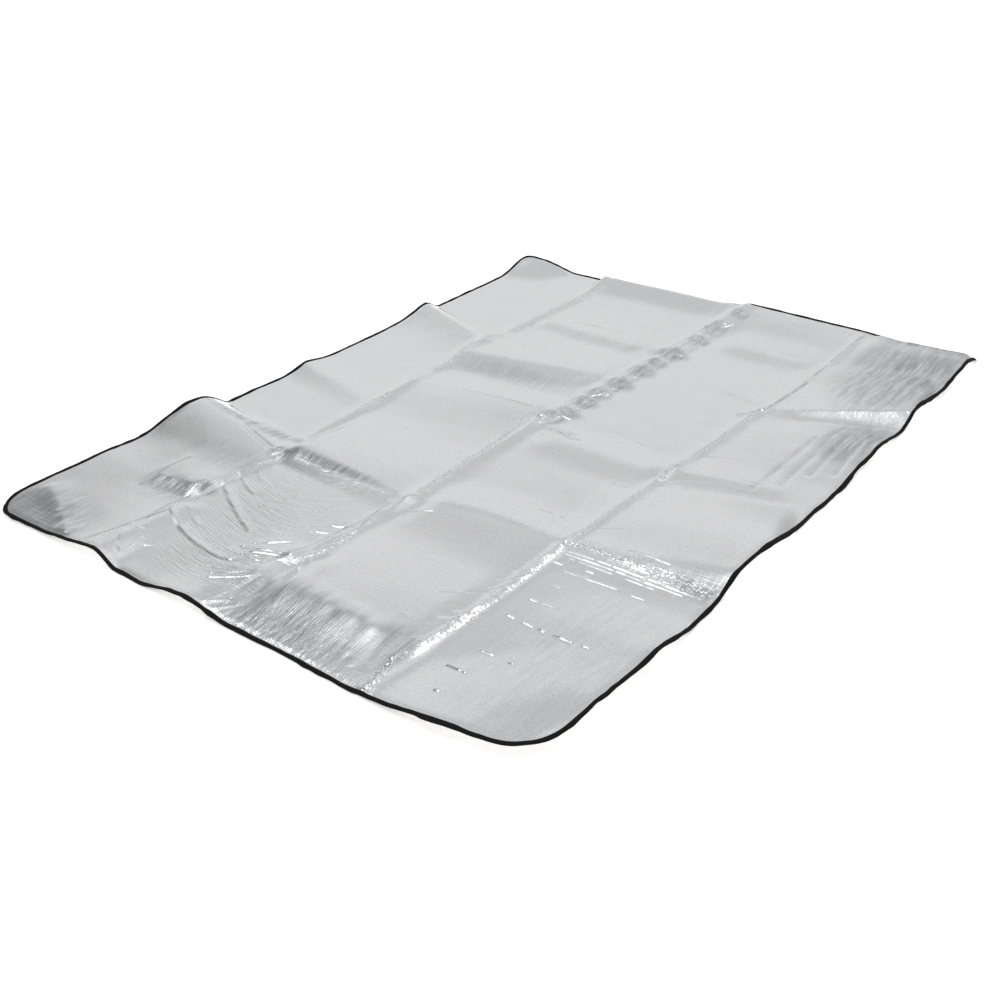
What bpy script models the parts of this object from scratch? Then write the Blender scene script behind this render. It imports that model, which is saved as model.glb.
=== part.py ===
"""Emergency foil blanket: a foam mat with an aluminium film face, laid out flat on the floor.

The mat has been kept folded into four panels each way, and lies with the memory of
those folds: ridges and troughs a few centimetres high, raised edges and curled corners.
A black tape is folded round its whole edge.

Metres, +Z up.  The origin is on the floor under the middle of the mat; X runs across
the mat and Y along it, and the front edge is the one at -Y.
"""

import math
from collections import namedtuple

import bmesh
import bpy
import numpy as np
from mathutils import Vector

# ---------------------------------------------------------------- driving dimensions
MAT_WIDTH = 1.500            # across, over the binding
MAT_LENGTH = 2.000           # along, over the binding
SHEET_THICKNESS = 0.003      # foam with its film
TAPE_THICKNESS = 0.001       # binding tape, one ply
TAPE_COVER = 0.010           # how far the tape laps over each face of the mat
CLEARANCE = 0.0003           # between the sheet and the tape that wraps it
RIM_BLEND = 0.060            # the sheet comes down to the floor this far inside the tape

HALF_WIDTH = MAT_WIDTH / 2
HALF_LENGTH = MAT_LENGTH / 2
RIM_LIFT = TAPE_THICKNESS + CLEARANCE

# Corner radii of the mat's outline.
Corner = namedtuple("Corner", "name side end radius")
CORNERS = [
    Corner("front left", -1, -1, 0.065),
    Corner("front right", 1, -1, 0.130),
    Corner("far right", 1, 1, 0.026),
    Corner("far left", -1, 1, 0.055),
]

# Folds.  Each is a crest from (x0, y0) to (x1, y1) that stands rise0 and rise1 above the
# floor at its two ends.  Seen along the crest, the sheet falls away over the distance
# `right` on the right-hand side and `left` on the left-hand side.  A shape of 1 is a
# sharp crest, 2 a round one and 3 a flat-topped one.  `fade` is how far the crest runs
# out past its ends.
Fold = namedtuple("Fold", "name x0 y0 x1 y1 rise0 rise1 right right_shape left left_shape fade")
FOLDS = [
    # crosswise folds, from the front edge to the far one
    Fold("first, left", -0.76, -0.440, -0.43, -0.480, 0.048, 0.012, 0.240, 1.4, 0.128, 3.2, 0.06),
    Fold("first, second panel", -0.36, -0.420, 0.00, -0.440, 0.026, 0.008, 0.070, 1.4, 0.300, 1.6, 0.05),
    Fold("first, third panel", 0.08, -0.395, 0.35, -0.390, 0.010, 0.010, 0.200, 1.8, 0.120, 1.6, 0.07),
    Fold("first, right", 0.40, -0.395, 0.76, -0.315, 0.004, 0.029, 0.100, 1.5, 0.340, 4.0, 0.05),
    Fold("middle, left", -0.76, -0.033, -0.44, -0.110, 0.014, 0.004, 0.090, 1.3, 0.100, 1.3, 0.06),
    Fold("middle, second panel", -0.42, 0.040, -0.05, 0.110, 0.006, 0.010, 0.200, 1.6, 0.110, 1.4, 0.06),
    Fold("middle, third panel", 0.10, -0.020, 0.35, -0.030, 0.007, 0.006, 0.100, 1.6, 0.100, 1.6, 0.07),
    Fold("middle, right", 0.39, 0.000, 0.62, 0.050, 0.006, 0.004, 0.090, 1.3, 0.090, 1.3, 0.06),
    Fold("third, left", -0.76, 0.474, -0.44, 0.370, 0.027, 0.008, 0.190, 1.2, 0.058, 1.7, 0.06),
    Fold("third, second panel", -0.40, 0.270, -0.04, 0.350, 0.019, 0.012, 0.110, 1.6, 0.220, 1.6, 0.06),
    Fold("third, right", 0.43, 0.410, 0.76, 0.555, 0.003, 0.026, 0.065, 1.3, 0.300, 2.5, 0.05),
    Fold("third, shoulder", 0.50, 0.340, 0.76, 0.345, 0.002, 0.016, 0.240, 1.5, 0.140, 1.7, 0.08),
    Fold("far, second panel", -0.36, 0.600, -0.08, 0.570, 0.007, 0.007, 0.070, 1.5, 0.110, 1.5, 0.05),
    Fold("far, third panel", 0.17, 0.735, 0.36, 0.720, 0.008, 0.007, 0.090, 1.6, 0.140, 1.6, 0.06),
    # lengthwise creases, from left to right
    Fold("crease a, front", -0.370, -1.01, -0.40, -0.760, 0.032, 0.008, 0.062, 1.8, 0.250, 1.5, 0.05),
    Fold("crease a, panel hump", -0.56, -0.655, -0.43, -0.665, 0.007, 0.013, 0.070, 1.5, 0.140, 1.6, 0.03),
    Fold("crease a, middle", -0.41, -0.440, -0.43, 0.350, 0.007, 0.005, 0.035, 1.2, 0.035, 1.2, 0.04),
    Fold("crease a, far", -0.43, 0.400, -0.420, 0.960, 0.005, 0.006, 0.035, 1.3, 0.035, 1.3, 0.04),
    Fold("crease b, front", -0.09, -1.01, -0.03, -0.760, 0.022, 0.010, 0.130, 1.6, 0.150, 1.6, 0.06),
    Fold("crease b, near", -0.03, -0.760, 0.00, -0.450, 0.008, 0.007, 0.040, 1.2, 0.030, 1.2, 0.04),
    Fold("crease b, middle", 0.00, -0.420, 0.00, 0.050, 0.005, 0.008, 0.035, 1.2, 0.035, 1.2, 0.04),
    Fold("crease b, far", 0.01, 0.080, 0.068, 0.970, 0.010, 0.012, 0.045, 1.4, 0.045, 1.4, 0.04),
    Fold("crease c, near", 0.385, -0.98, 0.393, -0.420, 0.006, 0.007, 0.028, 1.1, 0.028, 1.1, 0.02),
    Fold("crease c, middle", 0.390, -0.380, 0.42, 0.390, 0.005, 0.005, 0.024, 1.2, 0.024, 1.2, 0.03),
    Fold("crease c, far", 0.43, 0.420, 0.44, 0.960, 0.003, 0.004, 0.022, 1.2, 0.022, 1.2, 0.03),
    # the domed front of the third panel and the raised edges
    Fold("front dome", 0.07, -0.860, 0.34, -0.840, 0.026, 0.020, 0.150, 1.6, 0.360, 1.8, 0.07),
    Fold("left edge, front", -0.75, -0.880, -0.75, -0.720, 0.016, 0.018, 0.300, 2.0, 0.100, 2.0, 0.18),
    Fold("front right corner", 0.64, -0.985, 0.75, -0.880, 0.034, 0.022, 0.280, 2.0, 0.260, 2.0, 0.24),
    Fold("right edge, front", 0.75, -0.780, 0.75, -0.640, 0.014, 0.021, 0.100, 2.0, 0.300, 2.0, 0.17),
    Fold("right edge, far", 0.75, 0.720, 0.75, 0.900, 0.010, 0.018, 0.100, 2.0, 0.260, 2.0, 0.09),
    Fold("far edge, second panel", -0.42, 0.968, 0.03, 0.972, 0.020, 0.014, 0.110, 1.3, 0.034, 1.0, 0.03),
    Fold("far slope, second panel", -0.38, 0.960, 0.00, 0.960, 0.006, 0.006, 0.220, 1.8, 0.040, 1.5, 0.04),
    Fold("far edge, third panel", 0.11, 1.000, 0.42, 1.000, 0.023, 0.014, 0.260, 2.0, 0.100, 2.0, 0.13),
    Fold("far edge, right", 0.51, 0.970, 0.71, 0.970, 0.017, 0.018, 0.200, 1.8, 0.034, 1.0, 0.07),
    Fold("far left corner", -0.74, 1.000, -0.70, 1.000, 0.038, 0.028, 0.170, 1.6, 0.100, 1.6, 0.15),
]

# Where the mesh lines run, between the two inner edges of the tape: close together along
# folds and round corners, wide apart on the panels.
Stretch = namedtuple("Stretch", "upto cells")
ACROSS = [
    Stretch(-0.685, 3),
    Stretch(-0.460, 6),
    Stretch(-0.340, 5),
    Stretch(-0.050, 6),
    Stretch(0.090, 5),
    Stretch(0.340, 5),
    Stretch(0.460, 4),
    Stretch(0.680, 5),
    Stretch(HALF_WIDTH - TAPE_COVER, 3),
]
ALONG = [
    Stretch(-0.930, 3),
    Stretch(-0.800, 4),
    Stretch(-0.520, 6),
    Stretch(-0.260, 11),
    Stretch(-0.120, 3),
    Stretch(0.120, 6),
    Stretch(0.260, 3),
    Stretch(0.600, 12),
    Stretch(0.900, 7),
    Stretch(HALF_LENGTH - TAPE_COVER, 7),
]

COLLECTION_NAME = "emergency_foil_blanket"
FOIL_COLOUR = (0.78, 0.79, 0.80, 1.0)
TAPE_COLOUR = (0.020, 0.020, 0.021, 1.0)


# ---------------------------------------------------------------- the lie of the mat
def fold_rise(fold, x, y):
    """Height that one fold adds at the points x, y."""
    run_x = fold.x1 - fold.x0
    run_y = fold.y1 - fold.y0
    length = math.hypot(run_x, run_y)
    along = ((x - fold.x0) * run_x + (y - fold.y0) * run_y) / length
    across = ((y - fold.y0) * run_x - (x - fold.x0) * run_y) / length
    reach = np.where(across > 0, fold.left, fold.right)
    shape = np.where(across > 0, fold.left_shape, fold.right_shape)
    fall = np.clip(np.abs(across) / reach, 0, 1) ** shape
    past_end = np.clip(np.maximum(-along, along - length) / fold.fade, 0, 1)
    crest = fold.rise0 + (fold.rise1 - fold.rise0) * np.clip(along / length, 0, 1)
    return crest * (1 - fall) ** 2 * (1 - past_end ** 2) ** 2


def relief(x, y):
    """Height of the mat's underside above the floor."""
    return sum(fold_rise(fold, x, y) for fold in FOLDS)


def steepness(x, y, step=0.004):
    """How much longer an upright line through the sheet is than its thickness."""
    slope_x = (relief(x + step, y) - relief(x - step, y)) / (2 * step)
    slope_y = (relief(x, y + step) - relief(x, y - step)) / (2 * step)
    return np.sqrt(1 + slope_x ** 2 + slope_y ** 2)


# ---------------------------------------------------------------- the plan
def mesh_lines(start, stretches):
    """Positions of the mesh lines, an even number of cells to each stretch."""
    lines = [start]
    for stretch in stretches:
        pitch = (stretch.upto - lines[-1]) / stretch.cells
        first = lines[-1]
        lines += [first + pitch * (count + 1) for count in range(stretch.cells)]
    return lines


def corner_of(x, y):
    """The corner on the same side and end as a point."""
    for corner in CORNERS:
        if corner.side * x >= 0 and corner.end * y >= 0:
            return corner
    return CORNERS[0]


def round_corner(x, y):
    """Move a point of the square-cornered plan onto the round-cornered one.

    Returns the new place and the direction that points out of the mat there.  Within a
    corner, each square ring of mesh lines becomes a quarter circle.
    """
    corner = corner_of(x, y)
    radius = corner.radius - TAPE_COVER
    centre_x = HALF_WIDTH - TAPE_COVER - radius
    centre_y = HALF_LENGTH - TAPE_COVER - radius
    past_x = corner.side * x - centre_x
    past_y = corner.end * y - centre_y
    if past_x <= 0 or past_y <= 0:
        outward = Vector((corner.side, 0)) if past_x > past_y else Vector((0, corner.end))
        return x, y, outward
    ring = max(past_x, past_y)
    if past_x >= past_y:
        angle = math.pi / 4 * past_y / past_x
    else:
        angle = math.pi / 2 - math.pi / 4 * past_x / past_y
    outward = Vector((corner.side * math.cos(angle), corner.end * math.sin(angle)))
    place_x = corner.side * centre_x + outward.x * ring
    place_y = corner.end * centre_y + outward.y * ring
    return place_x, place_y, outward


def inside_tape(x, y):
    """Distance from the inner edge of the tape, inwards."""
    return min(HALF_WIDTH - TAPE_COVER - abs(x), HALF_LENGTH - TAPE_COVER - abs(y))


# ---------------------------------------------------------------- the two pieces
def make_material(name, colour, metallic, roughness):
    material = bpy.data.materials.new(name)
    material.use_nodes = True
    shader = material.node_tree.nodes["Principled BSDF"]
    shader.inputs["Base Color"].default_value = colour
    shader.inputs["Metallic"].default_value = metallic
    shader.inputs["Roughness"].default_value = roughness
    material.diffuse_color = colour
    return material


def add_object(name, bm, material, collection):
    bmesh.ops.recalc_face_normals(bm, faces=bm.faces[:])
    mesh = bpy.data.meshes.new(name)
    bm.to_mesh(mesh)
    bm.free()
    mesh.materials.append(material)
    mesh.shade_smooth()
    mesh.set_sharp_from_angle(angle=math.radians(50))
    obj = bpy.data.objects.new(name, mesh)
    collection.objects.link(obj)
    return obj


def split_rim_face(face, outer):
    """Cut a rim face in two, from its first inner corner to its second outer corner."""
    for loop in face.loops:
        if loop.vert in outer and loop.link_loop_next.vert in outer:
            second_outer = loop.link_loop_next.vert
            first_inner = loop.link_loop_prev.vert
            bmesh.utils.face_split(face, second_outer, first_inner)
            return


def make_sheet(columns, rows):
    """The foil-faced sheet.

    An even grid is fitted to the mesh lines, gets a rim that goes into the tape, is
    laid on the folds and thickened upwards.
    """
    bm = bmesh.new()
    across = len(columns) - 1
    along = len(rows) - 1
    bmesh.ops.create_grid(bm, x_segments=across, y_segments=along, size=1.0)
    outward_at = {}
    inset_at = {}
    for vert in bm.verts:
        column = round((vert.co.x + 1) / 2 * across)
        row = round((vert.co.y + 1) / 2 * along)
        square_x = columns[column]
        square_y = rows[row]
        x, y, outward = round_corner(square_x, square_y)
        vert.co = Vector((x, y, 0))
        outward_at[vert] = outward
        inset_at[vert] = inside_tape(square_x, square_y)

    border = [edge for edge in bm.edges if edge.is_boundary]
    grown = bmesh.ops.extrude_edge_only(bm, edges=border)["geom"]
    outer = {item for item in grown if isinstance(item, bmesh.types.BMVert)}
    for vert in outer:
        inner = next(edge.other_vert(vert) for edge in vert.link_edges
                     if edge.other_vert(vert) not in outer)
        step = outward_at[inner] * (TAPE_COVER - RIM_LIFT)
        vert.co = inner.co + step.to_3d()
        inset_at[vert] = 0.0
    bmesh.ops.recalc_face_normals(bm, faces=bm.faces[:])
    if sum(face.normal.z for face in bm.faces) < 0:
        bmesh.ops.reverse_faces(bm, faces=bm.faces[:])

    for face in [face for face in bm.faces if any(vert in outer for vert in face.verts)]:
        split_rim_face(face, outer)
    bmesh.ops.triangulate(bm, faces=bm.faces[:], quad_method="SHORT_EDGE")

    for vert in bm.verts:
        stretch = steepness(vert.co.x, vert.co.y)
        lift = RIM_LIFT * max(0.0, 1 - inset_at[vert] / RIM_BLEND) ** 2
        vert.co.z = relief(vert.co.x, vert.co.y) + lift * stretch

    raised = bmesh.ops.extrude_face_region(bm, geom=bm.faces[:])["geom"]
    for vert in [item for item in raised if isinstance(item, bmesh.types.BMVert)]:
        vert.co.z += SHEET_THICKNESS * steepness(vert.co.x, vert.co.y)
    return bm


def edge_stations(columns, rows):
    """Points once round the inner edge of the tape, anticlockwise, with their outward ways."""
    square = [(x, rows[0]) for x in columns[:-1]]
    square += [(columns[-1], y) for y in rows[:-1]]
    square += [(x, rows[-1]) for x in reversed(columns[1:])]
    square += [(columns[0], y) for y in reversed(rows[1:])]
    return [round_corner(x, y) for x, y in square]


def tape_section(x, y, outward):
    """The tape's folded section at one station: eight corners, from the top lip round."""
    sheet_edge = TAPE_COVER - RIM_LIFT
    edge_x = x + outward.x * sheet_edge
    edge_y = y + outward.y * sheet_edge
    lip_floor = relief(x, y)
    edge_floor = relief(edge_x, edge_y)
    lip_stretch = steepness(x, y)
    edge_stretch = steepness(edge_x, edge_y)
    inner_low = TAPE_THICKNESS
    inner_high = TAPE_THICKNESS + SHEET_THICKNESS + 2 * CLEARANCE
    outer_high = inner_high + TAPE_THICKNESS

    def lip(level):
        return Vector((x, y, lip_floor + level * lip_stretch))

    def fold(reach, level):
        return Vector((x + outward.x * reach, y + outward.y * reach, edge_floor + level * edge_stretch))

    channel_end = TAPE_COVER - TAPE_THICKNESS
    return [
        lip(outer_high),
        fold(TAPE_COVER, outer_high),
        fold(TAPE_COVER, 0.0),
        lip(0.0),
        lip(inner_low),
        fold(channel_end, inner_low),
        fold(channel_end, inner_high),
        lip(inner_high),
    ]


def make_binding(columns, rows):
    """The tape, folded over the sheet's edge and run once round the mat."""
    bm = bmesh.new()
    rings = []
    for x, y, outward in edge_stations(columns, rows):
        rings.append([bm.verts.new(point) for point in tape_section(x, y, outward)])
    corners = len(rings[0])
    starts_on_lip = {0, 4}
    for ring, following in zip(rings, rings[1:] + rings[:1]):
        for corner in range(corners):
            other = (corner + 1) % corners
            if corner in starts_on_lip:
                bm.faces.new((ring[corner], ring[other], following[other]))
                bm.faces.new((ring[corner], following[other], following[corner]))
            else:
                bm.faces.new((ring[corner], ring[other], following[corner]))
                bm.faces.new((ring[other], following[other], following[corner]))
    return bm


def main():
    for obj in list(bpy.data.objects):
        bpy.data.objects.remove(obj, do_unlink=True)
    collection = bpy.data.collections.new(COLLECTION_NAME)
    bpy.context.scene.collection.children.link(collection)

    columns = mesh_lines(TAPE_COVER - HALF_WIDTH, ACROSS)
    rows = mesh_lines(TAPE_COVER - HALF_LENGTH, ALONG)

    foil = make_material("aluminium film on foam", FOIL_COLOUR, 1.0, 0.35)
    tape = make_material("black woven tape", TAPE_COLOUR, 0.0, 0.85)
    add_object("foil_sheet", make_sheet(columns, rows), foil, collection)
    add_object("edge_binding", make_binding(columns, rows), tape, collection)


main()
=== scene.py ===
"""Emergency foil blanket, dressed: the foil-faced mat with the memory of its storage folds.

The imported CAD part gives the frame.  Its two solids are replaced by finer pieces on the
same folds: the foil sheet with its creases and crushed film, the woven tape sewn round
the edge, and the stitches in the tape.  Metres, +Z up, X across the mat and Y along it;
the front edge is the one at -Y.
"""

import math
from collections import namedtuple

import bmesh
import bpy
import numpy as np
from mathutils import Matrix, Vector


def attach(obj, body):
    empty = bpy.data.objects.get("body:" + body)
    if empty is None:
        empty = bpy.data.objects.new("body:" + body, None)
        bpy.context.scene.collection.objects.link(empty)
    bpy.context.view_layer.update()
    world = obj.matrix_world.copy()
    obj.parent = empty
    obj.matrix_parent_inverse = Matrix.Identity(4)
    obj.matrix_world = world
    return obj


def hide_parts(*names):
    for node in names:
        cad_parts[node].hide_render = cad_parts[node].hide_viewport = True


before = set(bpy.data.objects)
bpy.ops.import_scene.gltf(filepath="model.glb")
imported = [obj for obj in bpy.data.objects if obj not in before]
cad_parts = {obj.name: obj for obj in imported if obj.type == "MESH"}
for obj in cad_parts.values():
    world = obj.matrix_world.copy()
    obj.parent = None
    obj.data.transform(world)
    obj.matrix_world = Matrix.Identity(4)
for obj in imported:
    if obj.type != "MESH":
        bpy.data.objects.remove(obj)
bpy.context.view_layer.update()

MM = 0.001

# ---------------------------------------------------------------- sizes, as in the CAD part
MAT_WIDTH = 1.500            # across, over the binding
MAT_LENGTH = 2.000           # along, over the binding
SHEET_THICKNESS = 0.003      # foam with its film
TAPE_THICKNESS = 0.001       # binding tape, one ply
TAPE_COVER = 0.010           # how far the tape laps over each face of the mat
CLEARANCE = 0.0003           # between the sheet and the tape that wraps it
RIM_BLEND = 0.060            # the sheet comes down to the floor this far inside the tape
RIM_SQUEEZE = 0.0014         # how much the seam presses the foam together under the tape

HALF_WIDTH = MAT_WIDTH / 2
HALF_LENGTH = MAT_LENGTH / 2
RIM_LIFT = TAPE_THICKNESS + CLEARANCE
LIP_X = HALF_WIDTH - TAPE_COVER
LIP_Y = HALF_LENGTH - TAPE_COVER

# Corner radii of the mat's outline.
Corner = namedtuple("Corner", "name side end radius")
CORNERS = [
    Corner("front left", -1, -1, 0.065),
    Corner("front right", 1, -1, 0.130),
    Corner("far right", 1, 1, 0.026),
    Corner("far left", -1, 1, 0.055),
]

# The folds of the CAD part.  Each is a crest from (x0, y0) to (x1, y1) that stands rise0
# and rise1 above the floor at its two ends.  Seen along the crest, the sheet falls away
# over the distance `right` on the right-hand side and `left` on the left-hand side.  A
# shape of 1 is a sharp crest, 2 a round one and 3 a flat-topped one.  `fade` is how far
# the crest runs out past its ends.
Fold = namedtuple("Fold", "name x0 y0 x1 y1 rise0 rise1 right right_shape left left_shape fade")
FOLDS = [
    # crosswise folds, from the front edge to the far one
    Fold("first, left", -0.76, -0.440, -0.43, -0.480, 0.048, 0.012, 0.240, 1.4, 0.128, 3.2, 0.06),
    Fold("first, second panel", -0.36, -0.420, 0.00, -0.440, 0.026, 0.008, 0.070, 1.4, 0.300, 1.6, 0.05),
    Fold("first, third panel", 0.08, -0.395, 0.35, -0.390, 0.010, 0.010, 0.200, 1.8, 0.120, 1.6, 0.07),
    Fold("first, right", 0.40, -0.395, 0.76, -0.315, 0.004, 0.029, 0.100, 1.5, 0.340, 4.0, 0.05),
    Fold("middle, left", -0.76, -0.033, -0.44, -0.110, 0.014, 0.004, 0.090, 1.3, 0.100, 1.3, 0.06),
    Fold("middle, second panel", -0.42, 0.040, -0.05, 0.110, 0.006, 0.010, 0.200, 1.6, 0.110, 1.4, 0.06),
    Fold("middle, third panel", 0.10, -0.020, 0.35, -0.030, 0.007, 0.006, 0.100, 1.6, 0.100, 1.6, 0.07),
    Fold("middle, right", 0.39, 0.000, 0.62, 0.050, 0.006, 0.004, 0.090, 1.3, 0.090, 1.3, 0.06),
    Fold("third, left", -0.76, 0.474, -0.44, 0.370, 0.027, 0.008, 0.190, 1.2, 0.058, 1.7, 0.06),
    Fold("third, second panel", -0.40, 0.270, -0.04, 0.350, 0.019, 0.012, 0.110, 1.6, 0.220, 1.6, 0.06),
    Fold("third, right", 0.43, 0.410, 0.76, 0.555, 0.003, 0.026, 0.065, 1.3, 0.300, 2.5, 0.05),
    Fold("third, shoulder", 0.50, 0.340, 0.76, 0.345, 0.002, 0.016, 0.240, 1.5, 0.140, 1.7, 0.08),
    Fold("far, second panel", -0.36, 0.600, -0.08, 0.570, 0.007, 0.007, 0.070, 1.5, 0.110, 1.5, 0.05),
    Fold("far, third panel", 0.17, 0.735, 0.36, 0.720, 0.008, 0.007, 0.090, 1.6, 0.140, 1.6, 0.06),
    # lengthwise creases, from left to right
    Fold("crease a, front", -0.370, -1.01, -0.40, -0.760, 0.032, 0.008, 0.062, 1.8, 0.250, 1.5, 0.05),
    Fold("crease a, panel hump", -0.56, -0.655, -0.43, -0.665, 0.007, 0.013, 0.070, 1.5, 0.140, 1.6, 0.03),
    Fold("crease a, middle", -0.41, -0.440, -0.43, 0.350, 0.007, 0.005, 0.035, 1.2, 0.035, 1.2, 0.04),
    Fold("crease a, far", -0.43, 0.400, -0.420, 0.960, 0.005, 0.006, 0.035, 1.3, 0.035, 1.3, 0.04),
    Fold("crease b, front", -0.09, -1.01, -0.03, -0.760, 0.022, 0.010, 0.130, 1.6, 0.150, 1.6, 0.06),
    Fold("crease b, near", -0.03, -0.760, 0.00, -0.450, 0.008, 0.007, 0.040, 1.2, 0.030, 1.2, 0.04),
    Fold("crease b, middle", 0.00, -0.420, 0.00, 0.050, 0.005, 0.008, 0.035, 1.2, 0.035, 1.2, 0.04),
    Fold("crease b, far", 0.01, 0.080, 0.068, 0.970, 0.010, 0.012, 0.045, 1.4, 0.045, 1.4, 0.04),
    Fold("crease c, near", 0.385, -0.98, 0.393, -0.420, 0.006, 0.007, 0.028, 1.1, 0.028, 1.1, 0.02),
    Fold("crease c, middle", 0.390, -0.380, 0.42, 0.390, 0.005, 0.005, 0.024, 1.2, 0.024, 1.2, 0.03),
    Fold("crease c, far", 0.43, 0.420, 0.44, 0.960, 0.003, 0.004, 0.022, 1.2, 0.022, 1.2, 0.03),
    # the domed front of the third panel and the raised edges
    Fold("front dome", 0.07, -0.860, 0.34, -0.840, 0.026, 0.020, 0.150, 1.6, 0.360, 1.8, 0.07),
    Fold("left edge, front", -0.75, -0.880, -0.75, -0.720, 0.016, 0.018, 0.300, 2.0, 0.100, 2.0, 0.18),
    Fold("front right corner", 0.64, -0.985, 0.75, -0.880, 0.034, 0.022, 0.280, 2.0, 0.260, 2.0, 0.24),
    Fold("right edge, front", 0.75, -0.780, 0.75, -0.640, 0.014, 0.021, 0.100, 2.0, 0.300, 2.0, 0.17),
    Fold("right edge, far", 0.75, 0.720, 0.75, 0.900, 0.010, 0.018, 0.100, 2.0, 0.260, 2.0, 0.09),
    Fold("far edge, second panel", -0.42, 0.968, 0.03, 0.972, 0.020, 0.014, 0.110, 1.3, 0.034, 1.0, 0.03),
    Fold("far slope, second panel", -0.38, 0.960, 0.00, 0.960, 0.006, 0.006, 0.220, 1.8, 0.040, 1.5, 0.04),
    Fold("far edge, third panel", 0.11, 1.000, 0.42, 1.000, 0.023, 0.014, 0.260, 2.0, 0.100, 2.0, 0.13),
    Fold("far edge, right", 0.51, 0.970, 0.71, 0.970, 0.017, 0.018, 0.200, 1.8, 0.034, 1.0, 0.07),
    Fold("far left corner", -0.74, 1.000, -0.70, 1.000, 0.038, 0.028, 0.170, 1.6, 0.100, 1.6, 0.15),
]


def in_metres(row, *columns):
    """A row with the named columns, which are given in millimetres, turned to metres."""
    return row._replace(**{column: getattr(row, column) / 1000 for column in columns})


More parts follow.
